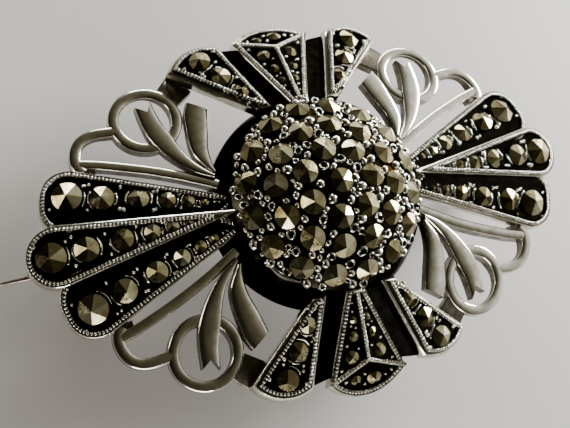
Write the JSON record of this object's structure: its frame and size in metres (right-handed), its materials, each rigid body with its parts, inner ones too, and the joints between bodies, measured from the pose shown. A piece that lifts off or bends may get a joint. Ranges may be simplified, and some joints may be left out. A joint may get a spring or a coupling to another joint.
{
  "type": "brooch",
  "caption": "Oval openwork brooch with a stone-set dome, set petals, scroll panels, hinged pin and turning safety catch.",
  "frame": {"origin": "middle of the flat back disc's outer face", "axes": "+X along the long axis from the catch to the hinge, +Z out of the decorated face"},
  "size_m": [0.053, 0.0344, 0.0133],
  "materials": {
    "silver": "polished silver with blackened recesses",
    "oxidised_silver": "blackened silver",
    "marcasite": "metallic faceted pyrite",
    "pin_metal": "plain drawn wire"
  },
  "bodies": {
    "front": {"dome_shell": "silver", "dome_collar": "oxidised_silver", "back_disc": "silver", "petal_right_mid": "silver", "petal_right_upper": "silver", "petal_right_lower": "silver", "petal_left_mid": "silver", "petal_left_upper": "silver", "petal_left_lower": "silver", "petal_top_mid": "silver", "petal_top_left": "silver", "petal_top_right": "silver", "petal_bottom_mid": "silver", "petal_bottom_left": "silver", "petal_bottom_right": "silver", "scroll_upper_right": "silver", "scroll_upper_left": "silver", "scroll_lower_right": "silver", "scroll_lower_left": "silver", "fork_leaf_upper_right": "silver", "fork_leaf_upper_left": "silver", "fork_leaf_lower_right": "silver", "fork_leaf_lower_left": "silver", "wide_leaf_upper_right": "silver", "wide_leaf_upper_left": "silver", "wide_leaf_lower_right": "silver", "wide_leaf_lower_left": "silver", "stones_dome_inner": "marcasite", "stones_dome_middle": "marcasite", "stones_dome_outer": "marcasite", "stones_right_mid": "marcasite", "stones_right_upper": "marcasite", "stones_right_lower": "marcasite", "stones_left_mid": "marcasite", "stones_left_upper": "marcasite", "stones_left_lower": "marcasite", "stones_top_mid": "marcasite", "stones_top_left": "marcasite", "stones_top_right": "marcasite", "stones_bottom_mid": "marcasite", "stones_bottom_left": "marcasite", "stones_bottom_right": "marcasite", "hinge_bracket": "silver", "hinge_rivet": "pin_metal", "catch_housing": "silver"},
    "pin": {"pin_stem": "pin_metal"},
    "catch_lock": {"catch_barrel": "silver"}
  },
  "joints": [
    {"name": "pin_hinge", "type": "hinge", "parent": "front", "child": "pin", "pos_m": [0.0205, -0.0003, -0.0026], "axis": [0, -1, 0], "range_deg": [0, 90]},
    {"name": "catch_turn", "type": "hinge", "parent": "front", "child": "catch_lock", "pos_m": [-0.019, -0.0003, -0.0026], "axis": [1, 0, 0], "range_deg": [0, 120]}
  ]
}
